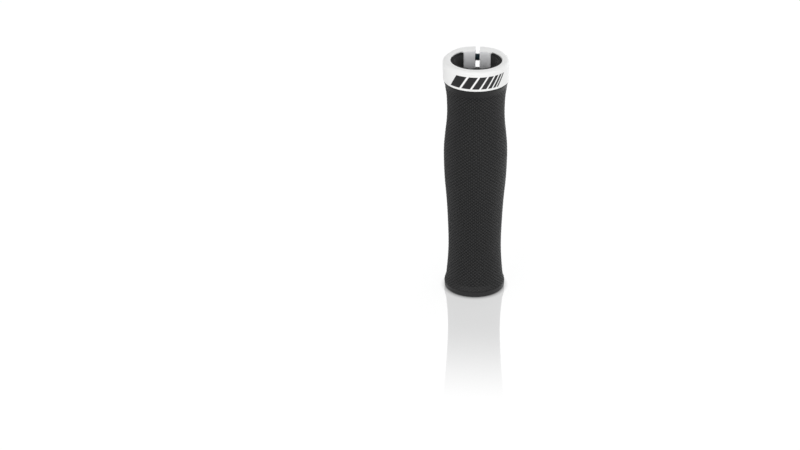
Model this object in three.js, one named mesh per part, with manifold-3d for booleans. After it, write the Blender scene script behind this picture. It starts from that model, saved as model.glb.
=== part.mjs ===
// A bicycle handlebar grip with one clamp ring, in millimetres.
// It stands on its closed outboard end, its axis is +Z, and the slot of the ring faces +Y.
// Four pieces come apart on a bench: a rubber sleeve, the nylon core inside it,
// the aluminium clamp ring, and the screw that closes the ring on the handlebar.

import * as THREE from 'three';
import { mergeVertices } from 'three/addons/utils/BufferGeometryUtils.js';
import Module from 'manifold-3d';

const wasm = await Module();
wasm.setup();

// Handlebar and clearances
const BAR_DIAMETER = 22.2;
const BORE_CLEARANCE = 0.1;
const BOND_GAP = 0.1;
const FIT_GAP = 0.3;

// Nylon core
const CORE_WALL = 1.0;
const CORE_END_WALL = 2.0;
const CORE_EDGE = 0.4;
const MOUTH_DEPTH = 1.1;

// Rubber sleeve: its length, the places of its stations, and how thick the rubber is at each
const SLEEVE_LENGTH = 117;
const END_SKIN = 2.0;
const FLANGE_EDGE = 1.0;
const FLANGE_HEIGHT = 4;
const SHOULDER_HEIGHT = 6.8;
const WAIST_HEIGHT = 25.8;
const BULGE_TO_RING = 41.9;
const NECK_TO_RING = 16.6;
const FLANGE_RUBBER = 3.35;
const SHOULDER_RUBBER = 2.25;
const WAIST_RUBBER = 1.15;
const BULGE_RUBBER = 3.8;
const NECK_RUBBER = 2.2;
const FLARE_RUBBER = 4.3;

// How the outline runs from one station to the next: [share of the height, share of the radius]
const SHOULDER_TO_WAIST = [[0.5, 0.74]];
const WAIST_TO_BULGE = [[0.25, 0.15], [0.5, 0.42], [0.75, 0.83]];
const BULGE_TO_NECK = [[0.25, 0.08], [0.5, 0.42], [0.75, 0.84]];
const NECK_TO_FLARE = [[0.5, 0.17], [0.8, 0.55]];

// Clamp ring
const RING_LENGTH = 10.9;
const RING_WALL = 3.9;
const FOOT_WALL = 3.65;
const COLLAR_WALL = 1.7;
const FOOT_CHAMFER = 0.25;
const RIM_HEIGHT = 1.6;
const RIM_CREST_INSET = 2;
const LIP_DROP = 0.4;
const SLOT_WIDTH = 2.75;
const BOSS_RISE = 1.9;
const BOSS_FLAT_ANGLE = 26;
const BOSS_END_ANGLE = 62;

// The two jaw pads that bear on the handlebar beside the slot
const PAD_CLEARANCE = 0.05;
const PAD_ANGLE = 36.9;
const PAD_ABOVE_FOOT = 1.0;
const PAD_CREST_DROP = 0.1;
const PAD_TOP_DROP = 0.3;

// Clamp screw, M4 with a small socket head, across the slot
const SCREW_DIAMETER = 4;
const SCREW_LENGTH = 12;
const SCREW_ABOVE_BAR = 3.1;
const SCREW_ABOVE_FOOT = 6.1;
const HEAD_DIAMETER = 6;
const HEAD_HEIGHT = 3.5;
const HEAD_EDGE = 0.35;
const SOCKET_ACROSS_FLATS = 3;
const SOCKET_DEPTH = 2;
const JAW_WALL = 2.8;

// Fineness of the round forms
const ROUND_STEPS = 64;
const SCREW_STEPS = 24;
const PALM_STEPS = 30;
const RIM_STEPS = 7;
const EDGE_STEPS = 3;

const boreRadius = BAR_DIAMETER / 2 + BORE_CLEARANCE;
const coreRadius = boreRadius + CORE_WALL;
const collarRadius = boreRadius + COLLAR_WALL;
const sleeveBore = coreRadius + BOND_GAP;
const flangeRadius = sleeveBore + FLANGE_RUBBER;
const ringBore = collarRadius + FIT_GAP;
const ringRadius = ringBore + RING_WALL;
const ringFoot = SLEEVE_LENGTH + FIT_GAP;
const crestHeight = ringFoot + RING_LENGTH;
const crestRadius = ringBore + RIM_CREST_INSET;
const padCrest = crestHeight - PAD_CREST_DROP;
const coreTop = crestHeight - MOUTH_DEPTH;
const boreFloor = END_SKIN + BOND_GAP + CORE_END_WALL;
const padRadius = BAR_DIAMETER / 2 + PAD_CLEARANCE;
const padTop = crestHeight - PAD_TOP_DROP;
const padFoot = ringFoot + PAD_ABOVE_FOOT;
const screwHeight = ringFoot + SCREW_ABOVE_FOOT;
const screwOffset = BAR_DIAMETER / 2 + SCREW_ABOVE_BAR;
const screwRadius = SCREW_DIAMETER / 2;
const headRadius = HEAD_DIAMETER / 2;
const headSeat = SLOT_WIDTH / 2 + JAW_WALL;
const cutterReach = 2 * (ringRadius + BOSS_RISE);

const rubber = new THREE.MeshStandardMaterial({ color: 0x2c2c2e, roughness: 0.75, metalness: 0 });
const nylon = new THREE.MeshStandardMaterial({ color: 0x1e1e1f, roughness: 0.55, metalness: 0 });
const whiteAluminium = new THREE.MeshStandardMaterial({ color: 0xf0f0ef, roughness: 0.25, metalness: 0 });
const blackSteel = new THREE.MeshStandardMaterial({ color: 0x23262c, roughness: 0.35, metalness: 0.9 });

// A closed geometry whose shared corners are merged, as a solid that can be cut and joined
function toSolid(geometry) {
  const bare = geometry.clone();
  bare.deleteAttribute('normal');
  bare.deleteAttribute('uv');
  const merged = mergeVertices(bare, 1e-5);
  const mesh = new wasm.Mesh({
    numProp: 3,
    vertProperties: new Float32Array(merged.attributes.position.array),
    triVerts: new Uint32Array(merged.index.array),
  });
  return new wasm.Manifold(mesh);
}

function toGeometry(solid) {
  const mesh = solid.getMesh();
  const geometry = new THREE.BufferGeometry();
  geometry.setAttribute('position', new THREE.BufferAttribute(mesh.vertProperties, 3));
  geometry.setIndex(new THREE.BufferAttribute(mesh.triVerts, 1));
  geometry.computeVertexNormals();
  return geometry;
}

// A section of [radius, height] points turned about the grip's axis, one flat facing +Y
function revolve(section, steps = ROUND_STEPS) {
  const points = section.map(([radius, height]) => new THREE.Vector2(radius, height));
  const geometry = new THREE.LatheGeometry(points, steps);
  return geometry.rotateX(Math.PI / 2);
}

// A section turned about the screw's axis, which lies along X: heights run towards +X
function revolveAcross(section) {
  const geometry = revolve(section, SCREW_STEPS).rotateY(Math.PI / 2);
  return geometry.translate(0, screwOffset, screwHeight);
}

function rod(radius, fromX, toX) {
  return revolveAcross([[0, fromX], [radius, fromX], [radius, toX], [0, toX]]);
}

// Upright prism on an outline of [x, y] points
function prism(outline, foot, top) {
  const shape = new THREE.Shape(outline.map(([x, y]) => new THREE.Vector2(x, y)));
  const geometry = new THREE.ExtrudeGeometry(shape, { depth: top - foot, bevelEnabled: false });
  return geometry.translate(0, 0, foot);
}

// The sector that holds both pads, opening towards +Y; grow widens it evenly
function padSector(grow, foot, top) {
  const angle = THREE.MathUtils.degToRad(PAD_ANGLE);
  const apex = -grow / Math.sin(angle);
  const side = cutterReach * Math.tan(angle);
  return prism([[0, apex], [side, apex + cutterReach], [-side, apex + cutterReach]], foot, top);
}

// Points along a curve of the section, without its first one
function along(curve, steps) {
  return curve.getPoints(steps).slice(1).map((point) => [point.x, point.y]);
}

// The points between two stations, and the second station itself
function between(start, end, shares) {
  const middle = shares.map(([upShare, outShare]) => new THREE.Vector2(
    THREE.MathUtils.lerp(start.x, end.x, outShare),
    THREE.MathUtils.lerp(start.y, end.y, upShare)));
  return [...middle, end];
}

// The hand-shaped outside of the sleeve: flange, waist, palm bulge, neck and flare
function sleeveOutside() {
  const shoulder = new THREE.Vector2(sleeveBore + SHOULDER_RUBBER, SHOULDER_HEIGHT);
  const waist = new THREE.Vector2(sleeveBore + WAIST_RUBBER, WAIST_HEIGHT);
  const bulge = new THREE.Vector2(sleeveBore + BULGE_RUBBER, SLEEVE_LENGTH - BULGE_TO_RING);
  const neck = new THREE.Vector2(sleeveBore + NECK_RUBBER, SLEEVE_LENGTH - NECK_TO_RING);
  const flare = new THREE.Vector2(sleeveBore + FLARE_RUBBER, SLEEVE_LENGTH);
  const palm = new THREE.SplineCurve([
    shoulder,
    ...between(shoulder, waist, SHOULDER_TO_WAIST),
    ...between(waist, bulge, WAIST_TO_BULGE),
    ...between(bulge, neck, BULGE_TO_NECK),
    ...between(neck, flare, NECK_TO_FLARE),
  ]);
  const edge = new THREE.EllipseCurve(
    flangeRadius - FLANGE_EDGE, FLANGE_EDGE, FLANGE_EDGE, FLANGE_EDGE, -Math.PI / 2, 0);
  return [
    [flangeRadius - FLANGE_EDGE, 0],
    ...along(edge, EDGE_STEPS),
    [flangeRadius, FLANGE_HEIGHT],
    [shoulder.x, shoulder.y],
    ...along(palm, PALM_STEPS),
  ];
}

function gripSleeve() {
  const inside = [[sleeveBore, SLEEVE_LENGTH], [sleeveBore, END_SKIN], [0, END_SKIN]];
  return revolve([[0, 0], ...sleeveOutside(), ...inside]);
}

// The core is a closed tube with a collar in the ring, notched for the pads and the screw head
function innerCore() {
  const foot = END_SKIN + BOND_GAP;
  const tube = toSolid(revolve([
    [0, foot],
    [coreRadius - CORE_EDGE, foot],
    [coreRadius, foot + CORE_EDGE],
    [coreRadius, ringFoot],
    [collarRadius, ringFoot],
    [collarRadius, coreTop],
    [boreRadius + CORE_EDGE, coreTop],
    [boreRadius, coreTop - CORE_EDGE],
    [boreRadius, boreFloor],
    [0, boreFloor],
  ]));
  const notch = toSolid(padSector(FIT_GAP, padFoot - FIT_GAP, crestHeight));
  const headRoom = toSolid(rod(headRadius + 2 * FIT_GAP, headSeat, cutterReach));
  return toGeometry(tube.subtract(notch).subtract(headRoom));
}

// Section of the ring: a foot chamfer, a slightly barrelled wall, a rounded shoulder and a nearly flat rim
function ringSection() {
  const shoulder = crestHeight - RIM_HEIGHT;
  const middle = (ringFoot + shoulder) / 2;
  const footRadius = ringBore + FOOT_WALL;
  const rimOut = new THREE.EllipseCurve(
    crestRadius, shoulder, ringRadius - crestRadius, RIM_HEIGHT, 0, Math.PI / 2);
  const rimIn = new THREE.EllipseCurve(
    crestRadius, crestHeight - LIP_DROP, RIM_CREST_INSET, LIP_DROP, Math.PI / 2, Math.PI);
  return [
    [ringBore, ringFoot],
    [footRadius - FOOT_CHAMFER, ringFoot],
    [footRadius, ringFoot + FOOT_CHAMFER],
    [ringRadius - (ringRadius - footRadius) / 4, middle],
    [ringRadius, shoulder],
    ...along(rimOut, RIM_STEPS),
    ...along(rimIn, RIM_STEPS),
    [ringBore, ringFoot],
  ];
}

// Around the slot the ring's outer side stands out, full at the flat angle and gone at the end angle
function raiseBoss(geometry) {
  const position = geometry.attributes.position;
  for (let i = 0; i < position.count; i += 1) {
    const x = position.getX(i);
    const y = position.getY(i);
    const radius = Math.hypot(x, y);
    const angle = THREE.MathUtils.radToDeg(Math.abs(Math.atan2(x, y)));
    const share = 1 - THREE.MathUtils.smoothstep(angle, BOSS_FLAT_ANGLE, BOSS_END_ANGLE);
    const outward = THREE.MathUtils.clamp((radius - crestRadius) / (ringRadius - crestRadius), 0, 1);
    const scale = 1 + (BOSS_RISE * share * outward) / radius;
    position.setXY(i, x * scale, y * scale);
  }
  return geometry;
}

// Section of the pads, from the handlebar's surface out into the ring's wall
function padSection() {
  const root = (ringBore + crestRadius) / 2;
  const top = new THREE.QuadraticBezierCurve(
    new THREE.Vector2(crestRadius, padCrest),
    new THREE.Vector2(padRadius + RIM_CREST_INSET, padCrest),
    new THREE.Vector2(padRadius, padTop));
  return [
    [padRadius, padFoot],
    [root, padFoot],
    [crestRadius, padFoot + (crestRadius - root)],
    [crestRadius, padCrest],
    ...along(top, RIM_STEPS),
    [padRadius, padFoot],
  ];
}

function clampRing() {
  const halfSlot = SLOT_WIDTH / 2;
  const slotOutline = [[-halfSlot, 0], [halfSlot, 0], [halfSlot, cutterReach], [-halfSlot, cutterReach]];
  const ring = toSolid(raiseBoss(revolve(ringSection())));
  const pads = toSolid(revolve(padSection())).intersect(toSolid(padSector(0, 0, 2 * crestHeight)));
  const slot = toSolid(prism(slotOutline, 0, 2 * crestHeight));
  const pocket = toSolid(rod(headRadius + FIT_GAP, headSeat, cutterReach));
  const screwHole = toSolid(rod(screwRadius + FIT_GAP, -cutterReach, cutterReach));
  return toGeometry(ring.add(pads).subtract(slot).subtract(pocket).subtract(screwHole));
}

function clampScrew() {
  const seat = headSeat + FIT_GAP;
  const tip = seat - SCREW_LENGTH;
  const top = seat + HEAD_HEIGHT;
  const body = toSolid(revolveAcross([
    [0, tip],
    [screwRadius - HEAD_EDGE, tip],
    [screwRadius, tip + HEAD_EDGE],
    [screwRadius, seat],
    [headRadius, seat],
    [headRadius, top - HEAD_EDGE],
    [headRadius - HEAD_EDGE, top],
    [0, top],
  ]));
  const socketRadius = SOCKET_ACROSS_FLATS / Math.sqrt(3);
  const socket = new THREE.CylinderGeometry(socketRadius, socketRadius, 2 * SOCKET_DEPTH, 6);
  socket.rotateZ(Math.PI / 2).translate(top, screwOffset, screwHeight);
  return toGeometry(body.subtract(toSolid(socket)));
}

function named(name, geometry, material) {
  const mesh = new THREE.Mesh(geometry, material);
  mesh.name = name;
  return mesh;
}

const grip = new THREE.Group();
grip.name = 'handlebar_grip';
grip.add(
  named('grip_sleeve', gripSleeve(), rubber),
  named('inner_core', innerCore(), nylon),
  named('clamp_ring', clampRing(), whiteAluminium),
  named('clamp_screw', clampScrew(), blackSteel),
);

export default grip;
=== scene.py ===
# %% [markdown]
# A bicycle handlebar grip is a rubber sleeve on a nylon core, held by a clamp ring.
# It stands on its closed end here, with the ring on top and the slot of the ring at the back.
# The measured solids are loaded first, and every piece below is made to their sizes, in metres.

# %% The measured frame
import math

import bpy
import numpy as np
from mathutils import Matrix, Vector


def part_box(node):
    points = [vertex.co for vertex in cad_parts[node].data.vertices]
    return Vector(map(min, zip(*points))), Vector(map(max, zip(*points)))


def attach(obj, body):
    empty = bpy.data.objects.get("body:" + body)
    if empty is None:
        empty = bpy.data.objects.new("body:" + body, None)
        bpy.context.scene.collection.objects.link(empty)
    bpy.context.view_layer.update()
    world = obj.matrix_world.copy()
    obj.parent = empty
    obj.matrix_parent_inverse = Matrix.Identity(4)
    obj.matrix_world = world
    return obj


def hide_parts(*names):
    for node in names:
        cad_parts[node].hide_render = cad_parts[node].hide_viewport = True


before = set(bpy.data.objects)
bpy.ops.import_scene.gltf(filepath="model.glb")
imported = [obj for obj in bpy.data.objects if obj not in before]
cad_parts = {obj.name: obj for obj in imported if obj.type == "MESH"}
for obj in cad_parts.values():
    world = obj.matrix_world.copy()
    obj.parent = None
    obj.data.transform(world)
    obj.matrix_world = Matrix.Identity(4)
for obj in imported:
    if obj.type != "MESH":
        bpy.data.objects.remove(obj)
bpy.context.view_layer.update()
MM = 0.001
sleeve_low, sleeve_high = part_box("grip_sleeve")
ring_low, ring_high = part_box("clamp_ring")
print("sleeve length in mm:", round((sleeve_high.z - sleeve_low.z) / MM, 2))
print("ring width in mm:", round((ring_high.x - ring_low.x) / MM, 2))

# %% [markdown]
# The grip is photographed from a little above with a long lens, so its sides look almost parallel.
# The camera is set first, because the fineness of everything else is judged through it.

# %% The camera
CAMERA_PLACE = Vector((65.6, -1424.4, 728.95)) * MM
CAMERA_PITCH = math.radians(64.03)
CAMERA_ROLL = math.radians(0.15)
CAMERA_YAW = math.radians(4.13)
LENS_MM = 137.0

bpy.ops.object.camera_add(location=CAMERA_PLACE, rotation=(CAMERA_PITCH, CAMERA_ROLL, CAMERA_YAW))
camera = bpy.context.object
camera.name = "product_camera"
camera.data.lens = LENS_MM
camera.data.sensor_width = 36
camera.data.clip_start = 0.05
camera.data.clip_end = 40
bpy.context.scene.camera = camera

# %% [markdown]
# A material is a small graph of nodes. A few helpers keep the graphs short to read: one makes a
# node with its settings, one starts a material with its Principled shader, and each of the others
# does one small sum.

# %% Helpers for materials
def add_node(tree, kind, **settings):
    """A new node with its own settings, such as a Math node's operation."""
    node = tree.nodes.new(kind)
    for key, value in settings.items():
        setattr(node, key, value)
    return node


def link(tree, source, target):
    tree.links.new(source, target)


def start_material(name, color, roughness, specular=0.5, metallic=0.0):
    """A material whose Principled shader has these constant values on its own sockets."""
    material = bpy.data.materials.new(name)
    material.use_nodes = True
    tree = material.node_tree
    shader = tree.nodes["Principled BSDF"]
    shader.inputs["Base Color"].default_value = (*color, 1)
    shader.inputs["Roughness"].default_value = roughness
    shader.inputs["Metallic"].default_value = metallic
    shader.inputs["Specular IOR Level"].default_value = specular
    return material, tree, shader


def object_place(tree):
    """The place on the piece, in its own coordinates."""
    return add_node(tree, "ShaderNodeTexCoord").outputs["Object"]


def noise(tree, place, scale, detail=3.0, roughness=0.55):
    node = add_node(tree, "ShaderNodeTexNoise")
    node.inputs["Scale"].default_value = scale
    node.inputs["Detail"].default_value = detail
    node.inputs["Roughness"].default_value = roughness
    link(tree, place, node.inputs["Vector"])
    return node.outputs["Fac"]


def axes_of(tree, place):
    """The X, Y and Z of a place or a direction."""
    split = add_node(tree, "ShaderNodeSeparateXYZ")
    link(tree, place, split.inputs[0])
    return split.outputs[0], split.outputs[1], split.outputs[2]


def remap(tree, value, low, high, start=0.0, stop=1.0, **settings):
    """A value that runs from start to stop, spread over low to high, and held level beyond them."""
    node = add_node(tree, "ShaderNodeMapRange", **settings)
    for name, number in (("From Min", start), ("From Max", stop), ("To Min", low), ("To Max", high)):
        node.inputs[name].default_value = number
    link(tree, value, node.inputs["Value"])
    return node.outputs["Result"]


def math_node(tree, operation, first, second=None):
    """A Math node. Each input is a number or another node's output."""
    node = add_node(tree, "ShaderNodeMath", operation=operation)
    for socket, value in zip(node.inputs, (first, second)):
        if value is None:
            continue
        if isinstance(value, (int, float)):
            socket.default_value = value
        else:
            link(tree, value, socket)
    return node.outputs[0]


def mix_colors(tree, factor, first, second):
    """First color where the factor is 0, second where it is 1."""
    node = add_node(tree, "ShaderNodeMix", data_type="RGBA")
    link(tree, factor, node.inputs["Factor"])
    for socket, value in ((node.inputs[6], first), (node.inputs[7], second)):
        if isinstance(value, tuple):
            socket.default_value = (*value, 1)
        else:
            link(tree, value, socket)
    return node.outputs[2]


def bump(tree, shader, height, distance, strength):
    """Fine relief. The distance is in millimetres."""
    node = add_node(tree, "ShaderNodeBump")
    node.inputs["Distance"].default_value = distance * MM
    node.inputs["Strength"].default_value = strength
    link(tree, height, node.inputs["Height"])
    link(tree, node.outputs["Normal"], shader.inputs["Normal"])


# %% [markdown]
# The sleeve is soft black rubber, moulded with a fine matt grain. Its colour is hardly any colour:
# what makes it read as rubber is a wide, weak gloss that changes a little from place to place. Near
# the ring, where the knurl runs out, the colour is painted down to almost black as shade under the ring.

# %% Rubber
RUBBER_COLOR = (0.0108, 0.0108, 0.0113)
RUBBER_WORN = (0.0148, 0.0148, 0.0153)
# The near-black colour of the band just under the ring is painted shade.
SHADE_UNDER_RING = (0.0026, 0.0026, 0.0028)
BAND_FOOT, BAND_TOP = 0.111, 0.115


def rubber_material():
    material, tree, shader = start_material("moulded_rubber", RUBBER_COLOR, roughness=0.55, specular=0.31)
    shader.inputs["Sheen Weight"].default_value = 0.02
    shader.inputs["Sheen Roughness"].default_value = 0.45
    place = object_place(tree)
    cloud = noise(tree, place, scale=60, detail=2)
    grain = noise(tree, place, scale=5200, detail=2)
    worn = mix_colors(tree, cloud, RUBBER_COLOR, RUBBER_WORN)
    height = axes_of(tree, place)[2]
    # Painted shade: just under the ring the rubber's colour goes almost black, in place of the ring's
    # shadow.
    band = remap(tree, height, 0, 1, start=BAND_FOOT, stop=BAND_TOP)
    link(tree, mix_colors(tree, band, worn, SHADE_UNDER_RING), shader.inputs["Base Color"])
    patchy = math_node(tree, "ADD", remap(tree, cloud, 0.45, 0.58), remap(tree, grain, -0.04, 0.04))
    link(tree, patchy, shader.inputs["Roughness"])
    bump(tree, shader, grain, distance=0.03, strength=0.5)
    return material


# %% [markdown]
# The core is glass-filled nylon. It comes out of the mould satin and a shade lighter than the rubber,
# with fine sparkle where the fibres lie near the surface. Its end, in the mouth of the ring, is matt,
# and its colour there is painted almost black as shade inside the mouth.

# %% Nylon
NYLON_DARK = (0.026, 0.026, 0.0265)
NYLON_LIGHT = (0.052, 0.052, 0.052)
# Painted shade: the colour of the core's end, deep in the mouth under the ring's lip.
NYLON_END_SHADE = (0.003, 0.003, 0.0032)
END_FADE_FOOT = ring_high.z - 1.3 * MM
END_FADE_TOP = ring_high.z - 0.8 * MM
END_MATT = 0.26


def nylon_material():
    material, tree, shader = start_material("core_nylon", NYLON_DARK, roughness=0.5, specular=0.2)
    place = object_place(tree)
    fibre = noise(tree, place, scale=2600, detail=4, roughness=0.7)
    height = axes_of(tree, place)[2]
    at_end = remap(tree, height, 0, 1, start=END_FADE_FOOT, stop=END_FADE_TOP)
    wall = mix_colors(tree, fibre, NYLON_DARK, NYLON_LIGHT)
    # Painted shade: the core's end in the mouth is coloured almost black, for the shade under the ring's
    # lip.
    link(tree, mix_colors(tree, at_end, wall, NYLON_END_SHADE), shader.inputs["Base Color"])
    matt_end = math_node(tree, "MULTIPLY", at_end, END_MATT)
    link(tree, math_node(tree, "ADD", remap(tree, fibre, 0.40, 0.62), matt_end), shader.inputs["Roughness"])
    bump(tree, shader, fibre, distance=0.02, strength=0.6)
    return material


# %% [markdown]
# The ring is aluminium under satin white paint. The pads that touch the handlebar and the faces of
# the slot are bare machined metal, and the front carries a plain printed band of slanted bars. All
# are found by their place on the piece: the radius and the angle about the grip's axis, and the
# height.

# %% Places on the ring
def ring_coordinates(tree):
    """Radius, angle from the front in degrees (positive to the right) and height, in millimetres."""
    x, y, z = (math_node(tree, "MULTIPLY", axis, 1 / MM) for axis in axes_of(tree, object_place(tree)))
    squares = math_node(tree, "ADD", math_node(tree, "MULTIPLY", x, x), math_node(tree, "MULTIPLY", y, y))
    radius = math_node(tree, "SQRT", squares)
    turn = math_node(tree, "ARCTAN2", x, math_node(tree, "MULTIPLY", y, -1.0))
    angle = math_node(tree, "MULTIPLY", turn, 180 / math.pi)
    return radius, angle, z


def step_up(tree, value, edge, softness):
    """0 below the edge and 1 above it, over a narrow ramp."""
    return remap(tree, value, 0, 1, start=edge - softness / 2, stop=edge + softness / 2)


def step_down(tree, value, edge, softness):
    return math_node(tree, "SUBTRACT", 1.0, step_up(tree, value, edge, softness))


def inside_band(tree, value, low, high, softness):
    above = step_up(tree, value, low, softness)
    return math_node(tree, "MULTIPLY", above, step_down(tree, value, high, softness))


# %% The printed bars
BAR_FOOT, BAR_TOP = 118.6, 125.2
BAR_SLANT = 2.1
BAR_EDGES = (
    (-47.0, -27.5), (-23.5, -8.0), (-4.4, 7.8), (11.0, 20.4), (23.3, 30.2), (32.8, 37.8), (40.2, 43.6))
PRINT_EDGE = 0.5
print("printed bars:", len(BAR_EDGES))


def printed_bars(tree, angle, height):
    """1 on the bars and 0 between them. Each bar leans to the right as it rises."""
    lean = math_node(tree, "MULTIPLY", math_node(tree, "SUBTRACT", height, BAR_FOOT), BAR_SLANT)
    sheared = math_node(tree, "SUBTRACT", angle, lean)
    print_area = inside_band(tree, height, BAR_FOOT, BAR_TOP, PRINT_EDGE / 3)
    bars = None
    for left, right in BAR_EDGES:
        bar = inside_band(tree, sheared, left, right, PRINT_EDGE)
        bars = bar if bars is None else math_node(tree, "MAXIMUM", bars, bar)
    return math_node(tree, "MULTIPLY", bars, print_area)


# %% Bare metal
PAD_TOP = ring_high.z / MM - 0.3
PAINT_LIMIT_RADIUS = 12.6
PAINT_LIMIT_TOP = PAD_TOP - 0.1
SLOT_HALF = 1.16
SLOT_EDGE = 0.08
PAINT_EDGE = 0.12
PAINT_EDGE_TOP = 0.15
LINE_STRETCH = (1, 1, 14)


def bare_places(tree, radius, height):
    """1 on the pads and on the faces of the slot, which have no paint."""
    inward = step_down(tree, radius, PAINT_LIMIT_RADIUS, PAINT_EDGE)
    under_rim = step_down(tree, height, PAINT_LIMIT_TOP, PAINT_EDGE_TOP)
    pad_face = math_node(tree, "MULTIPLY", inward, under_rim)
    x, y, z = axes_of(tree, object_place(tree))
    slot_face = math_node(tree, "LESS_THAN", math_node(tree, "ABSOLUTE", x), (SLOT_HALF + SLOT_EDGE) * MM)
    behind = math_node(tree, "GREATER_THAN", y, 0.0)
    return math_node(tree, "MAXIMUM", pad_face, math_node(tree, "MULTIPLY", slot_face, behind))


def machined_lines(tree, place):
    """Fine lines round the bore, as a boring tool leaves them."""
    stretch = add_node(tree, "ShaderNodeMapping")
    stretch.inputs["Scale"].default_value = LINE_STRETCH
    link(tree, place, stretch.inputs["Vector"])
    return noise(tree, stretch.outputs["Vector"], scale=700, detail=3)


# %% The ring's material
PAINT_WHITE = (0.86, 0.86, 0.855)
BARE_METAL = (0.93, 0.93, 0.945)
BARE_METAL_DULL = tuple(0.93 * c for c in BARE_METAL)
BARE_SHARE = 0.05
PRINT_BLACK = (0.012, 0.012, 0.013)
PRINT_INNER_RADIUS = 15.5


def ring_material():
    material, tree, shader = start_material("white_ring", PAINT_WHITE, roughness=0.42, specular=0.3)
    radius, angle, height = ring_coordinates(tree)
    place = object_place(tree)
    bare = bare_places(tree, radius, height)
    front = step_up(tree, radius, PRINT_INNER_RADIUS, 0.1)
    ink = math_node(tree, "MULTIPLY", printed_bars(tree, angle, height), front)
    painted = mix_colors(tree, ink, PAINT_WHITE, PRINT_BLACK)
    lines = machined_lines(tree, place)
    metal = mix_colors(tree, lines, BARE_METAL, BARE_METAL_DULL)
    link(tree, mix_colors(tree, bare, painted, metal), shader.inputs["Base Color"])
    link(tree, math_node(tree, "MULTIPLY", bare, BARE_SHARE), shader.inputs["Metallic"])
    peel = noise(tree, place, scale=420, detail=1)
    choose = add_node(tree, "ShaderNodeMix", data_type="FLOAT")
    link(tree, bare, choose.inputs["Factor"])
    link(tree, remap(tree, peel, 0.38, 0.46), choose.inputs[2])
    link(tree, remap(tree, lines, 0.46, 0.6), choose.inputs[3])
    link(tree, choose.outputs[0], shader.inputs["Roughness"])
    bump(tree, shader, peel, distance=0.02, strength=0.3)
    return material


# %% [markdown]
# The screw is hardened steel with a black oxide skin. The skin is thin and oily, so it keeps a
# metal's gloss, and it looks blue where it is thickest.

# %% Black oxide steel
OXIDE_BLUE = (0.016, 0.044, 0.062)
OXIDE_BLACK = (0.034, 0.050, 0.057)


def screw_material():
    material, tree, shader = start_material("oxide_steel", OXIDE_BLACK, roughness=0.35, metallic=0.85)
    place = object_place(tree)
    film = noise(tree, place, scale=900, detail=2)
    link(tree, mix_colors(tree, film, OXIDE_BLUE, OXIDE_BLACK), shader.inputs["Base Color"])
    link(tree, remap(tree, film, 0.28, 0.45), shader.inputs["Roughness"])
    bump(tree, shader, noise(tree, place, scale=3000), distance=0.01, strength=0.5)
    return material


# %% [markdown]
# Everything on this grip is turned about its long axis, so one way of modelling serves for
# the sleeve's ends, the core and the screw: a circle is added, and then extruded, moved and scaled
# from station to station of the section, as on a potter's wheel.

# %% Helpers for modelling
def deselect_all():
    if bpy.context.object and bpy.context.object.mode != "OBJECT":
        bpy.ops.object.mode_set(mode="OBJECT")
    bpy.ops.object.select_all(action="DESELECT")


def make_active(piece):
    deselect_all()
    piece.select_set(True)
    bpy.context.view_layer.objects.active = piece


def edit_all(piece):
    make_active(piece)
    bpy.ops.object.mode_set(mode="EDIT")
    bpy.ops.mesh.select_all(action="SELECT")


def apply_place():
    """The active piece stays where it is, and its own coordinates become the frame's."""
    bpy.ops.object.transform_apply(location=True, rotation=True, scale=True)


def extrude_to(station, previous):
    """The selected loop is extruded from one [radius, height] station to the next, in millimetres."""
    radius, height = station
    last_radius, last_height = previous
    rise = (height - last_height) * MM
    bpy.ops.mesh.extrude_region_move(TRANSFORM_OT_translate={"value": (0, 0, rise)})
    ratio = radius / last_radius
    bpy.ops.transform.resize(value=(ratio, ratio, 1), center_override=(0, 0, height * MM))


def close_end():
    """The selected loop is drawn in to one point on the axis."""
    bpy.ops.mesh.extrude_region_move()
    bpy.ops.mesh.merge(type="CENTER")


def face_outwards(piece):
    edit_all(piece)
    bpy.ops.mesh.normals_make_consistent(inside=False)
    bpy.ops.object.mode_set(mode="OBJECT")


def select_where(piece, test):
    """Selects the vertices that pass the test, and leaves the piece in edit mode."""
    bpy.ops.object.mode_set(mode="EDIT")
    bpy.ops.mesh.select_mode(type="VERT")
    bpy.ops.mesh.select_all(action="DESELECT")
    bpy.ops.object.mode_set(mode="OBJECT")
    for vertex in piece.data.vertices:
        vertex.select = test(vertex)
    bpy.ops.object.mode_set(mode="EDIT")


LOOP_SLACK = 0.004


def select_loop(piece, station):
    """Selects the loop that lies at a [radius, height] station, in millimetres."""
    radius, height = station

    def at_station(vertex):
        away = math.hypot(vertex.co.x, vertex.co.y) / MM - radius
        return abs(away) < LOOP_SLACK and abs(vertex.co.z / MM - height) < LOOP_SLACK

    select_where(piece, at_station)


def turned_piece(name, section, steps):
    """A closed body turned on the section's [radius, height] stations, in millimetres."""
    deselect_all()
    first = section[0]
    bpy.ops.mesh.primitive_circle_add(
        vertices=steps, radius=first[0] * MM, location=(0, 0, first[1] * MM), fill_type="NOTHING")
    piece = bpy.context.object
    piece.name = name
    apply_place()
    edit_all(piece)
    close_end()
    select_loop(piece, first)
    for previous, station in zip(section, section[1:]):
        extrude_to(station, previous)
    close_end()
    face_outwards(piece)
    return piece


# %% [markdown]
# Some steps are the same for every piece: a modifier that is applied at once, a bevel on the sharp
# edges, a shape that is cut away, and smooth shading up to an angle.

# %% Helpers for finishing
def apply_modifier(piece, kind, **settings):
    make_active(piece)
    modifier = piece.modifiers.new("step", kind)
    for key, value in settings.items():
        setattr(modifier, key, value)
    bpy.ops.object.modifier_apply(modifier=modifier.name)


def bevel(piece, width, segments, degrees):
    """Rounds the edges that are sharper than an angle. The width is in millimetres."""
    apply_modifier(
        piece, "BEVEL", width=width * MM, segments=segments, limit_method="ANGLE",
        angle_limit=math.radians(degrees))


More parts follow.
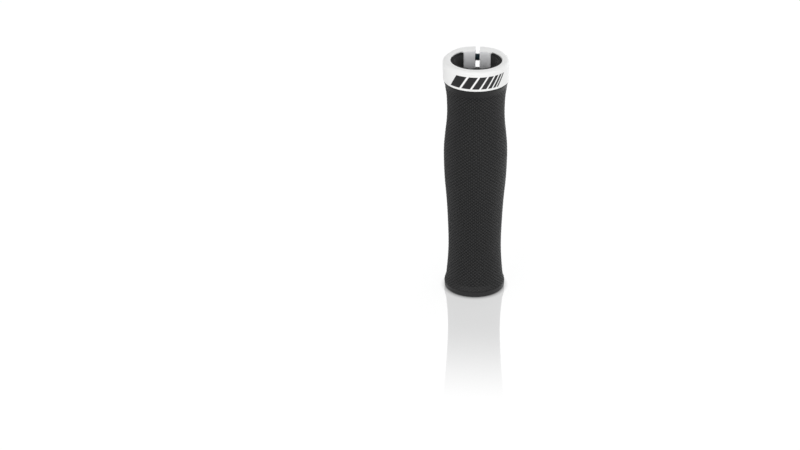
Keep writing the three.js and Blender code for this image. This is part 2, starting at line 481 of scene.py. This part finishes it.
def cut(piece, tool):
    """The tool's shape is taken out of the piece, and the tool is thrown away."""
    apply_modifier(piece, "BOOLEAN", operation="DIFFERENCE", object=tool, solver="EXACT")
    bpy.data.objects.remove(tool)


def shade(piece, degrees):
    make_active(piece)
    bpy.ops.object.shade_smooth_by_angle(angle=math.radians(degrees))


def triangle_count(piece):
    return sum(len(face.vertices) - 2 for face in piece.data.polygons)


# %% [markdown]
# The outline of the sleeve comes from the measured solid: its outer vertices are the stations of
# the section. A smooth curve through them gives the radius at any height, so the fine knurl
# follows the same waist, palm bulge and neck.

# %% The sleeve's outline
def outer_stations(node):
    """Height and radius of the node's outer stations, in millimetres, from the foot up."""
    widest = {}
    for vertex in node.data.vertices:
        height = round(vertex.co.z / MM, 2)
        radius = math.hypot(vertex.co.x, vertex.co.y) / MM
        widest[height] = max(radius, widest.get(height, 0))
    heights = np.array(sorted(widest))
    return heights, np.array([widest[h] for h in heights])


PALM_FOOT = 6.75
SLEEVE_TOP = sleeve_high.z / MM
station_heights, station_radii = outer_stations(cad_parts["grip_sleeve"])
palm = station_heights > PALM_FOOT
palm_heights = station_heights[palm]
palm_radii = station_radii[palm]
palm_slopes = np.gradient(palm_radii, palm_heights)
print("stations of the palm:", len(palm_heights))


def palm_radius(height):
    """The outline's radius at a height: a cubic between the two nearest stations."""
    i = int(np.clip(np.searchsorted(palm_heights, height) - 1, 0, len(palm_heights) - 2))
    span = palm_heights[i + 1] - palm_heights[i]
    t = float(np.clip((height - palm_heights[i]) / span, 0, 1))
    ease = t * t * (3 - 2 * t)
    lift = palm_slopes[i] * span * t * (1 - t) ** 2 - palm_slopes[i + 1] * span * t * t * (1 - t)
    return palm_radii[i] * (1 - ease) + palm_radii[i + 1] * ease + lift


# %% [markdown]
# The knurl is a net of small raised diamonds, 44 around the grip, cut by two sets of grooves that
# climb at 37 degrees to either side. One diamond is modelled flat: a plane turned on its corner and
# stretched, then inset three times. The first inset leaves the floor of the groove, the second
# climbs its side, and the third crowns the top. A second diamond is set half a step over and up, and
# arrays then copy the two into a sheet.

# %% One diamond
KNURL_COLUMNS = 44
KNURL_ROWS = 67
KNURL_FOOT = 3.1
KNURL_PITCH = 1.75
COLUMN_WIDTH = 2.33
GROOVE_DEPTH = 0.50
CROWN_LIFT = 0.25
GROOVE_FLOOR = 0.07
GROOVE_SIDE = 0.24
CROWN_INSET = 0.13
CROWN_RISE = 0.07


def knurl_diamonds():
    """Two raised diamonds in the XY plane: X runs round the grip, Y along it, Z outwards."""
    deselect_all()
    bpy.ops.mesh.primitive_plane_add(size=1, location=(0, 0, 0))
    tile = bpy.context.object
    tile.name = "knurled_sleeve"
    edit_all(tile)
    bpy.ops.transform.rotate(value=math.radians(45), orient_axis="Z", center_override=(0, 0, 0))
    half = math.sqrt(0.5)
    stretch = (COLUMN_WIDTH * MM / 2 / half, KNURL_PITCH * MM / 2 / half, 1)
    bpy.ops.transform.resize(value=stretch, center_override=(0, 0, 0))
    bpy.ops.mesh.inset(thickness=GROOVE_FLOOR * MM, depth=0)
    bpy.ops.mesh.inset(thickness=GROOVE_SIDE * MM, depth=(GROOVE_DEPTH - CROWN_RISE) * MM)
    bpy.ops.mesh.inset(thickness=CROWN_INSET * MM, depth=CROWN_RISE * MM)
    bpy.ops.mesh.select_all(action="SELECT")
    shift = (COLUMN_WIDTH / 2 * MM, KNURL_PITCH / 2 * MM, 0)
    bpy.ops.mesh.duplicate_move(TRANSFORM_OT_translate={"value": shift})
    bpy.ops.object.mode_set(mode="OBJECT")
    return tile


def array_of(piece, count, offset):
    apply_modifier(
        piece, "ARRAY", count=count, use_relative_offset=False, use_constant_offset=True,
        constant_offset_displace=offset)


def merge_close(piece, distance=0.004):
    """Joins vertices that are closer than a distance, in millimetres."""
    edit_all(piece)
    bpy.ops.mesh.remove_doubles(threshold=distance * MM)
    bpy.ops.object.mode_set(mode="OBJECT")


sleeve = knurl_diamonds()
array_of(sleeve, KNURL_COLUMNS, (COLUMN_WIDTH * MM, 0, 0))
array_of(sleeve, KNURL_ROWS, (0, KNURL_PITCH * MM, 0))
merge_close(sleeve)
print("flat sheet of knurl, triangles:", triangle_count(sleeve))

# %% [markdown]
# The sheet is rolled round the axis. A point's X becomes its angle, its Y the height, and its Z is
# measured from the outline, so that the crowns of the diamonds stand a little above it and the
# grooves are cut below it. The grooves run out at both ends, sharply on the flange at the foot
# and gently in the flare under the ring. Just over the flange the outline is a rounded shoulder.

# %% Rolling the sheet
KNURL_TOP = 115.4
FOOT_RUN_OUT = 0.3
TOP_RUN_OUT = 3.2
SHOULDER_FOOT, SHOULDER_TOP = 1.9, 6.3
SHOULDER_RADIUS = 15.6
TRIM_SLACK = 0.0005
TRIM_MERGE = 0.01


def run_out_share(height):
    """1 over the length of the knurl, easing to 0 at both ends."""
    near = min((height - KNURL_FOOT) / FOOT_RUN_OUT, (KNURL_TOP - height) / TOP_RUN_OUT)
    share = min(max(near, 0), 1)
    return share * share * (3 - 2 * share)


def sleeve_radius(height):
    """The outline, with a rounded shoulder between the flange and the palm."""
    if height >= SHOULDER_TOP:
        return palm_radius(height)
    share = (height - SHOULDER_FOOT) / (SHOULDER_TOP - SHOULDER_FOOT)
    return SHOULDER_RADIUS + max(share, 0) ** 2 * (palm_radius(SHOULDER_TOP) - SHOULDER_RADIUS)


def roll_sheet(piece):
    circumference = KNURL_COLUMNS * COLUMN_WIDTH * MM
    for vertex in piece.data.vertices:
        height = KNURL_FOOT - KNURL_PITCH + vertex.co.y / MM
        share = run_out_share(height)
        relief = (CROWN_LIFT - GROOVE_DEPTH + vertex.co.z / MM) * share
        radius = (sleeve_radius(height) + relief) * MM
        angle = 2 * math.pi * vertex.co.x / circumference
        vertex.co = (radius * math.sin(angle), -radius * math.cos(angle), height * MM)


def trim(piece, height, keep_above):
    """Cuts the piece square at a height and throws one side away."""
    edit_all(piece)
    bpy.ops.mesh.bisect(
        plane_co=(0, 0, height * MM), plane_no=(0, 0, 1), clear_inner=keep_above,
        clear_outer=not keep_above, threshold=TRIM_SLACK * MM)
    bpy.ops.object.mode_set(mode="OBJECT")


roll_sheet(sleeve)
merge_close(sleeve)
trim(sleeve, KNURL_FOOT, keep_above=True)
trim(sleeve, KNURL_TOP, keep_above=False)
merge_close(sleeve, TRIM_MERGE)
print("rolled knurl, triangles:", triangle_count(sleeve))

# %% [markdown]
# The plain ends grow out of the rolled sheet. The open loop at its foot is extruded down over the
# flange and in under the base, and the loop at its top up the flare, over the mouth and down the
# inside, so that the sleeve is one closed body.

# %% The plain ends of the sleeve
FLANGE_RADIUS = 15.65
FLANGE_EDGE = 1.25
FLANGE_RIDGE = 0.10
SLEEVE_BORE = 12.3
END_SKIN = 2.0
MOUTH_EDGE = 0.25
LEVEL_SLACK = 0.002


def arc(center, size, start, end, steps):
    """Stations on an ellipse's arc, without its first point. Angles are in degrees."""
    angles = np.radians(np.linspace(start, end, steps + 1)[1:])
    return [(center[0] + size[0] * math.cos(a), center[1] + size[1] * math.sin(a)) for a in angles]


def foot_stations():
    rounding = arc((FLANGE_RADIUS - FLANGE_EDGE, FLANGE_EDGE), (FLANGE_EDGE, FLANGE_EDGE), 0, -90, 6)
    ridge = [(FLANGE_RADIUS + FLANGE_RIDGE, KNURL_FOOT - 0.1), (FLANGE_RADIUS, KNURL_FOOT - 0.35)]
    inner = [(FLANGE_RADIUS - 2 * FLANGE_EDGE, 0), (FLANGE_RADIUS / 2, 0), (1, 0)]
    return ridge + [(FLANGE_RADIUS, FLANGE_EDGE)] + rounding + inner


def mouth_stations():
    top = SLEEVE_TOP
    flare = [(palm_radius(h), h) for h in np.linspace(KNURL_TOP, top - MOUTH_EDGE, 9)[1:]]
    lip = [(palm_radius(top) - MOUTH_EDGE, top), (SLEEVE_BORE + MOUTH_EDGE, top)]
    bore = [(SLEEVE_BORE, top - MOUTH_EDGE), (SLEEVE_BORE, 60), (SLEEVE_BORE, END_SKIN)]
    return flare + lip + bore + [(SLEEVE_BORE / 2, END_SKIN), (1, END_SKIN)]


def extrude_stations(piece, start, stations):
    """The open loop at the start is extruded from station to station, and closed on the axis."""
    height = start[1] * MM
    select_where(piece, lambda vertex: abs(vertex.co.z - height) < LEVEL_SLACK * MM)
    for previous, station in zip([start, *stations], stations):
        extrude_to(station, previous)
    close_end()
    bpy.ops.object.mode_set(mode="OBJECT")


make_active(sleeve)
extrude_stations(sleeve, (sleeve_radius(KNURL_FOOT), KNURL_FOOT), foot_stations())
extrude_stations(sleeve, (palm_radius(KNURL_TOP), KNURL_TOP), mouth_stations())
face_outwards(sleeve)
shade(sleeve, 50)
sleeve.data.materials.append(rubber_material())
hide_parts("grip_sleeve")
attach(sleeve, "root")
print("whole sleeve, triangles:", triangle_count(sleeve))

# %% [markdown]
# The core shows only in the mouth: its end, its bore and the notch where the pads of the ring come
# through. It is turned on its section, and its end lies just under the crest of the ring.

# %% The nylon core's section
BORE_RADIUS = 11.2
CORE_RADIUS = 12.2
COLLAR_RADIUS = 12.9
CORE_FOOT = 2.1
BORE_FLOOR = 4.1
RING_FOOT = ring_low.z / MM
RING_CREST = ring_high.z / MM
CORE_TOP = RING_CREST - 0.55
CORE_EDGE = 0.3
CORE_STEPS = 128
core_section = [
    (1, CORE_FOOT),
    (CORE_RADIUS - CORE_EDGE, CORE_FOOT),
    (CORE_RADIUS, CORE_FOOT + CORE_EDGE),
    (CORE_RADIUS, RING_FOOT),
    (COLLAR_RADIUS, RING_FOOT),
    (COLLAR_RADIUS, CORE_TOP - CORE_EDGE),
    (COLLAR_RADIUS - CORE_EDGE / 2, CORE_TOP),
    (BORE_RADIUS + CORE_EDGE, CORE_TOP),
    (BORE_RADIUS, CORE_TOP - CORE_EDGE),
    (BORE_RADIUS, BORE_FLOOR + CORE_EDGE),
    (BORE_RADIUS - CORE_EDGE, BORE_FLOOR),
    (1, BORE_FLOOR),
]
core = turned_piece("nylon_core", core_section, CORE_STEPS)
print("core before cutting, triangles:", triangle_count(core))

# %% [markdown]
# Two shapes are cut out of the core. A wedge makes the notch for the pads of the ring, and a rod
# along the screw's axis makes a hollow that clears the screw's head.

# %% The notch and the hollow of the core
PAD_ANGLE = 36.9
PAD_FOOT = RING_FOOT + 1.0
FIT_GAP = 0.3
SCREW_Y = 14.2
SCREW_Z = RING_FOOT + 6.1
SCREW_RADIUS = 2.0
HEAD_SEAT = 4.175
HEAD_RADIUS = 3.0
ROD_STEPS = 48
REACH = 40
APEX_HALF = 0.001


def wedge(foot, top, grow):
    """A three-sided prism that opens towards the slot, wider than both pads by a gap."""
    deselect_all()
    bpy.ops.mesh.primitive_cube_add(size=1, location=(0, 0, 0))
    tool = bpy.context.object
    half = math.radians(PAD_ANGLE)
    apex = -grow / math.sin(half)
    for vertex in tool.data.vertices:
        far = vertex.co.y > 0
        side = math.copysign(REACH * math.tan(half) if far else APEX_HALF, vertex.co.x)
        place = (side, apex + (REACH if far else 0), top if vertex.co.z > 0 else foot)
        vertex.co = Vector(place) * MM
    return tool


def cross_rod(radius, from_x, to_x):
    """A rod along the screw's axis, in millimetres."""
    deselect_all()
    middle = Vector(((from_x + to_x) / 2, SCREW_Y, SCREW_Z)) * MM
    bpy.ops.mesh.primitive_cylinder_add(
        vertices=ROD_STEPS, radius=radius * MM, depth=(to_x - from_x) * MM, location=middle,
        rotation=(0, math.pi / 2, 0))
    apply_place()
    return bpy.context.object


cut(core, wedge(PAD_FOOT - FIT_GAP, RING_CREST, FIT_GAP))
cut(core, cross_rod(HEAD_RADIUS + 2 * FIT_GAP, HEAD_SEAT, REACH))
bevel(core, width=0.12, segments=2, degrees=50)
shade(core, 40)
core.data.materials.append(nylon_material())
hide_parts("inner_core")
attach(core, "root")
print("core, triangles:", triangle_count(core))

# %% [markdown]
# The clamp ring is a bar of aluminium bent into a C: it starts at one face of the slot, goes all
# the way round and ends at the other face. So it is modelled as that bar. Its section is spun round
# the axis, and each loop is then moved to its true place: out on the boss beside the slot,
# in on the two pads, and flat on the faces of the slot.

# %% The ring's section
RING_BORE = 13.2
RING_RADIUS = 17.1
RING_FOOT_RADIUS = 16.85
FOOT_CHAMFER = 0.25
RIM_HEIGHT = 1.6
CREST_RADIUS = RING_BORE + 2.0
LIP_DROP = 0.4
BOSS_RISE = 1.9
BOSS_FLAT_ANGLE = 26
BOSS_END_ANGLE = 62
PAD_RADIUS = 11.15
PAD_HEIGHTS = (126, 123.5, 121, PAD_FOOT)
RIM_STEPS = 12
LIP_STEPS = 8


def outer_section():
    """From the ring's foot out and up to the crest of the rim."""
    shoulder = RING_CREST - RIM_HEIGHT
    bulge = RING_RADIUS - RING_FOOT_RADIUS
    wall = []
    for share in (0.2, 0.4, 0.6, 0.8, 1.0):
        swell = math.sin(share * math.pi / 2)
        wall.append((RING_FOOT_RADIUS + bulge * swell, RING_FOOT + share * (shoulder - RING_FOOT)))
    rim = arc((CREST_RADIUS, shoulder), (RING_RADIUS - CREST_RADIUS, RIM_HEIGHT), 0, 90, RIM_STEPS)
    foot = [(RING_FOOT_RADIUS - FOOT_CHAMFER, RING_FOOT), (RING_FOOT_RADIUS, RING_FOOT + FOOT_CHAMFER)]
    return foot + wall + rim


def lip_section():
    """From the crest in and down to the lip, and down the bore."""
    center = (CREST_RADIUS, RING_CREST - LIP_DROP)
    lip = arc(center, (CREST_RADIUS - RING_BORE, LIP_DROP), 90, 180, LIP_STEPS)
    return lip + [(RING_BORE, height) for height in (*PAD_HEIGHTS, PAD_FOOT - 0.3, RING_FOOT)]


def pad_section():
    """The same stations as lip_section where a pad is: over the crest and in to the handlebar."""
    crest_edge = RING_CREST - 0.1
    control = (PAD_RADIUS + 2.0, crest_edge)
    top = []
    for t in np.linspace(0, 1, LIP_STEPS + 1)[1:]:
        curve = [(1 - t) ** 2 * a + 2 * t * (1 - t) * b + t * t * c
                 for a, b, c in zip((CREST_RADIUS, crest_edge), control, (PAD_RADIUS, PAD_TOP))]
        top.append(tuple(curve))
    face = [(PAD_RADIUS, height) for height in PAD_HEIGHTS]
    return top + face + [(RING_BORE, PAD_FOOT), (RING_BORE, RING_FOOT)]


plain = outer_section() + lip_section()
padded = outer_section() + pad_section()
print("stations of the ring's section:", len(plain))


# %% Places round the ring
def smooth_share(value, low, high):
    t = min(max((value - low) / (high - low), 0), 1)
    return t * t * (3 - 2 * t)


def ring_angles():
    """Angles from the slot, in degrees: close together at the pads' sides, even elsewhere."""
    near = [0, 9, 12, 15, 18, 21, 24, 27, 30, 33, 35.5, PAD_ANGLE, PAD_ANGLE + 0.25, 39]
    far = list(np.linspace(42, 180, 47))
    right = near + far
    return right + [360 - a for a in reversed(right[:-1])]


def ring_point(station, lip_station, angle):
    """The place of a station of the section at an angle from the slot, in millimetres."""
    from_slot = min(angle, 360 - angle)
    radius, height = lip_station if from_slot <= PAD_ANGLE + 0.01 else station
    share = 1 - smooth_share(from_slot, BOSS_FLAT_ANGLE, BOSS_END_ANGLE)
    outward = min(max((radius - CREST_RADIUS) / (RING_RADIUS - CREST_RADIUS), 0), 1)
    radius += BOSS_RISE * share * outward
    side = 1 if angle <= 180 else -1
    if from_slot == 0:
        return side * SLOT_HALF, math.sqrt(radius ** 2 - SLOT_HALF ** 2), height
    turn = math.radians(from_slot)
    return side * radius * math.sin(turn), radius * math.cos(turn), height


angles = ring_angles()
print("places round the ring:", len(angles))

# %% Bending the bar round
SPIN_DEGREES = 350
SPIN_SLACK = 0.01
FACE_SLACK = 0.001


def loop_of(name, places):
    """A closed loop of vertices at these places, in millimetres."""
    deselect_all()
    bpy.ops.mesh.primitive_circle_add(vertices=len(places), radius=MM, fill_type="NOTHING")
    piece = bpy.context.object
    piece.name = name
    for vertex, place in zip(piece.data.vertices, places):
        vertex.co = Vector(place) * MM
    return piece


def spin_section(piece, steps):
    edit_all(piece)
    bpy.ops.mesh.spin(
        steps=steps, angle=math.radians(SPIN_DEGREES), center=(0, 0, 0), axis=(0, 0, 1),
        use_auto_merge=False)
    bpy.ops.object.mode_set(mode="OBJECT")


def bend_ring(piece, spin_side):
    """Moves each vertex of the spun bar to its true place on the ring."""
    table = np.array(plain)
    step = SPIN_DEGREES / (len(angles) - 1)
    for vertex in piece.data.vertices:
        radius = math.hypot(vertex.co.x, vertex.co.y) / MM
        away = np.hypot(table[:, 0] - radius, table[:, 1] - vertex.co.z / MM)
        station = int(np.argmin(away))
        spun = spin_side * math.degrees(math.atan2(vertex.co.x, vertex.co.y))
        if spun < -SPIN_SLACK:
            spun += 360
        turn = round(abs(spun) / step)
        angle = 360 if turn == len(angles) - 1 else angles[turn]
        vertex.co = Vector(ring_point(plain[station], padded[station], angle)) * MM


def close_slot_face(piece, side):
    """Fills the open end of the bar at the left (-1) or right (1) face of the slot."""
    face_x = side * SLOT_HALF * MM
    select_where(piece, lambda vertex: abs(vertex.co.x - face_x) < FACE_SLACK * MM and vertex.co.y > 0)
    bpy.ops.mesh.edge_face_add()


ring = loop_of("clamp_ring_white", [(0, radius, height) for radius, height in plain])
spin_section(ring, len(angles) - 1)
first_step = ring.data.vertices[len(plain)].co
bend_ring(ring, math.copysign(1, first_step.x))
close_slot_face(ring, -1)
close_slot_face(ring, 1)
face_outwards(ring)
bevel(ring, width=0.22, segments=3, degrees=38)
cut(ring, cross_rod(HEAD_RADIUS + FIT_GAP, HEAD_SEAT, REACH))
cut(ring, cross_rod(SCREW_RADIUS + FIT_GAP, -REACH, REACH))
shade(ring, 35)
ring.data.materials.append(ring_material())
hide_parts("clamp_ring")
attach(ring, "root")
print("ring, triangles:", triangle_count(ring))

# %% [markdown]
# The screw is an M4 with a small round head and a 3 mm hexagon socket. Its thread shows in the slot,
# so it is a real helix: one tooth of the thread is swept by the Screw modifier. The head is turned
# in the same way as the core, and the socket is cut with a six-sided rod.

# %% The screw's head
HEAD_HEIGHT = 3.5
HEAD_EDGE = 0.35
SOCKET_FLATS = 3.0
SOCKET_DEPTH = 2.0
head_section = [
    (0.5, -0.4),
    (1.6, -0.4),
    (1.6, 0),
    (HEAD_RADIUS - 0.1, 0),
    (HEAD_RADIUS, 0.1),
    (HEAD_RADIUS, 1.2),
    (HEAD_RADIUS, HEAD_HEIGHT - HEAD_EDGE),
    *arc((HEAD_RADIUS - HEAD_EDGE, HEAD_HEIGHT - HEAD_EDGE), (HEAD_EDGE, HEAD_EDGE), 0, 90, 5),
    (1.9, HEAD_HEIGHT),
    (0.5, HEAD_HEIGHT),
]


def hex_rod(across_flats, depth, top):
    """A six-sided rod that reaches to a depth under the top, in millimetres."""
    deselect_all()
    bpy.ops.mesh.primitive_cylinder_add(
        vertices=6, radius=across_flats / math.sqrt(3) * MM, depth=2 * depth * MM,
        location=(0, 0, top * MM))
    apply_place()
    return bpy.context.object


screw = turned_piece("clamp_screw_black", head_section, 64)
cut(screw, hex_rod(SOCKET_FLATS, SOCKET_DEPTH, HEAD_HEIGHT))
bevel(screw, width=0.08, segments=2, degrees=50)
print("head of the screw, triangles:", triangle_count(screw))

# %% The screw's thread
SCREW_LENGTH = 12.0
THREAD_PITCH = 0.7
THREAD_DEPTH = 0.43
THREAD_STEPS = 32
TIP_RADIUS = 1.62


def thread():
    """One tooth of the thread, swept along the screw by the Screw modifier, and closed at its ends."""
    turns = int(SCREW_LENGTH / THREAD_PITCH)
    root, crest = SCREW_RADIUS - THREAD_DEPTH - 0.1, SCREW_RADIUS
    tooth = ((root, 0.02), (crest, 0.31), (crest, 0.39), (root, 0.68))
    start = -turns * THREAD_PITCH
    piece = loop_of("thread", [(radius, 0, start + height) for radius, height in tooth])
    apply_modifier(
        piece, "SCREW", angle=2 * math.pi, screw_offset=THREAD_PITCH * MM, iterations=turns - 1,
        steps=THREAD_STEPS, render_steps=THREAD_STEPS)
    edit_all(piece)
    bpy.ops.mesh.fill_holes(sides=0)
    face_outwards(piece)
    return piece


def join(piece, *others):
    make_active(piece)
    for other in others:
        other.select_set(True)
    bpy.ops.object.join()


shank_section = [
    (0.4, -SCREW_LENGTH),
    (1.3, -SCREW_LENGTH),
    (TIP_RADIUS, -SCREW_LENGTH + 0.3),
    (TIP_RADIUS, -0.2),
    (0.4, -0.2),
]
join(screw, thread(), turned_piece("shank", shank_section, 48))
face_outwards(screw)
screw.rotation_euler = (0, math.pi / 2, 0)
screw.location = Vector((HEAD_SEAT + FIT_GAP, SCREW_Y, SCREW_Z)) * MM
make_active(screw)
apply_place()
shade(screw, 40)
screw.data.materials.append(screw_material())
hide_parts("clamp_screw")
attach(screw, "root")
print("screw, triangles:", triangle_count(screw))

# %% [markdown]
# The grip stands on a sheet of white acrylic. To the camera the sheet is white, with only a faint
# shadow and a narrow contact shadow painted into its glow, and it mirrors the grip below its foot,
# less and less towards the front. What the grip mirrors of the sheet is duller on the left and
# brighter on the right.

# %% The floor
FLOOR_SIZE = 12
MIRROR = 0.31
MIRROR_ROUGHNESS = 0.03
MIRROR_NEAR, MIRROR_FAR = 0.04, 0.14
SHEET_COLOR = (0.8, 0.8, 0.8)
SHEET_GLOW = 0.72
GLOW_LEVEL = 1.15
GLOW_LEAN = 0.38
LEAN_REACH = 0.1
CONTACT_REACH = 2.6 * MM
CONTACT_SAMPLES = 16


def seen_directly(tree):
    """1 for what the camera sees, also in a mirror or through glass, and 0 for light on the grip."""
    path = add_node(tree, "ShaderNodeLightPath")
    mirrored = math_node(tree, "MAXIMUM", path.outputs["Is Glossy Ray"], path.outputs["Is Transmission Ray"])
    return math_node(tree, "MAXIMUM", path.outputs["Is Camera Ray"], mirrored)


def glow_to_the_side(tree):
    """1 for the camera. In a reflection, below 1 on the left and above 1 on the right."""
    x, y, z = axes_of(tree, object_place(tree))
    lean = remap(tree, x, -GLOW_LEAN, GLOW_LEAN, start=-LEAN_REACH, stop=LEAN_REACH)
    glossy = add_node(tree, "ShaderNodeLightPath").outputs["Is Glossy Ray"]
    return math_node(tree, "ADD", 1.0, math_node(tree, "MULTIPLY", glossy, lean))


def mix_shaders(tree, factor, first, second):
    """First shader where the factor is 0, second where it is 1."""
    node = add_node(tree, "ShaderNodeMixShader")
    link(tree, factor, node.inputs["Fac"])
    link(tree, first.outputs[0], node.inputs[1])
    link(tree, second.outputs[0], node.inputs[2])
    return node


def floor_material():
    material = bpy.data.materials.new("white_acrylic")
    material.use_nodes = True
    tree = material.node_tree
    tree.nodes.clear()
    output = add_node(tree, "ShaderNodeOutputMaterial")
    sheet = add_node(tree, "ShaderNodeBsdfDiffuse")
    sheet.inputs["Color"].default_value = (*SHEET_COLOR, 1)
    glow = add_node(tree, "ShaderNodeEmission")
    # Painted contact shadow: ambient occlusion darkens the sheet's glow next to the grip's foot.
    contact_shadow = add_node(tree, "ShaderNodeAmbientOcclusion", samples=CONTACT_SAMPLES)
    contact_shadow.inputs["Distance"].default_value = CONTACT_REACH
    level = math_node(tree, "MULTIPLY", contact_shadow.outputs["AO"], GLOW_LEVEL)
    link(tree, math_node(tree, "MULTIPLY", level, glow_to_the_side(tree)), glow.inputs["Strength"])
    white = mix_shaders(tree, math_node(tree, "MULTIPLY", seen_directly(tree), SHEET_GLOW), sheet, glow)
    x, y, z = axes_of(tree, object_place(tree))
    forward = math_node(tree, "MULTIPLY", y, -1.0)
    fade = remap(
        tree, forward, MIRROR, 0, start=MIRROR_NEAR, stop=MIRROR_FAR, interpolation_type="SMOOTHSTEP")
    shine = add_node(tree, "ShaderNodeBsdfGlossy")
    shine.inputs["Color"].default_value = (1, 1, 1, 1)
    shine.inputs["Roughness"].default_value = MIRROR_ROUGHNESS
    link(tree, mix_shaders(tree, fade, white, shine).outputs[0], output.inputs["Surface"])
    return material


deselect_all()
bpy.ops.mesh.primitive_plane_add(size=FLOOR_SIZE, location=(0, 0, 0))
floor = bpy.context.object
floor.name = "acrylic_floor"
floor.data.materials.append(floor_material())

# %% [markdown]
# A product like this is lit by soft boxes. Two stand in front, to the left and the right of the
# camera, and light the ring and its pads. The third stands behind the grip on the right, and gives
# the pale edge on the rubber. The room is white to the camera and in reflections, and lights the
# grip from all around, more from the walls than from above and a little more from the right.

# %% The lights
LAMP_AIM = Vector((0, 0, 0.065))


def soft_box(name, place, width, height, watts, color=(1, 1, 1)):
    """A rectangular lamp that faces the middle of the grip."""
    deselect_all()
    bpy.ops.object.light_add(type="AREA", location=place)
    lamp = bpy.context.object
    lamp.name = name
    lamp.data.shape = "RECTANGLE"
    lamp.data.size = width
    lamp.data.size_y = height
    lamp.data.energy = watts
    lamp.data.color = color
    aim = LAMP_AIM - Vector(place)
    lamp.rotation_euler = aim.to_track_quat("-Z", "Y").to_euler()


soft_box("front_box", (0.40, -0.95, 0.34), width=0.7, height=0.6, watts=1.9)
soft_box("right_box", (0.58, 0.86, 0.24), width=0.7, height=0.7, watts=2.9, color=(0.92, 0.97, 1))
soft_box("left_box", (-0.50, -0.85, 0.36), width=0.5, height=0.6, watts=1.9)

# %% The room
WALL_LIGHT = 0.99
CEILING_LIGHT = 0.63
RIGHT_SHARE = 0.10


def light_room():
    world = bpy.data.worlds.new("white_room")
    bpy.context.scene.world = world
    world.use_nodes = True
    tree = world.node_tree
    tree.nodes.clear()
    output = add_node(tree, "ShaderNodeOutputWorld")
    room = add_node(tree, "ShaderNodeBackground")
    x, y, z = axes_of(tree, add_node(tree, "ShaderNodeTexCoord").outputs["Generated"])
    side = math_node(tree, "ADD", 1.0, math_node(tree, "MULTIPLY", x, RIGHT_SHARE))
    walls = math_node(tree, "MULTIPLY", remap(tree, z, WALL_LIGHT, CEILING_LIGHT), side)
    room.inputs["Color"].default_value = (1, 1, 1, 1)
    link(tree, math_node(tree, "MAXIMUM", walls, seen_directly(tree)), room.inputs["Strength"])
    link(tree, room.outputs[0], output.inputs["Surface"])


light_room()
bpy.context.scene.view_settings.view_transform = "Standard"
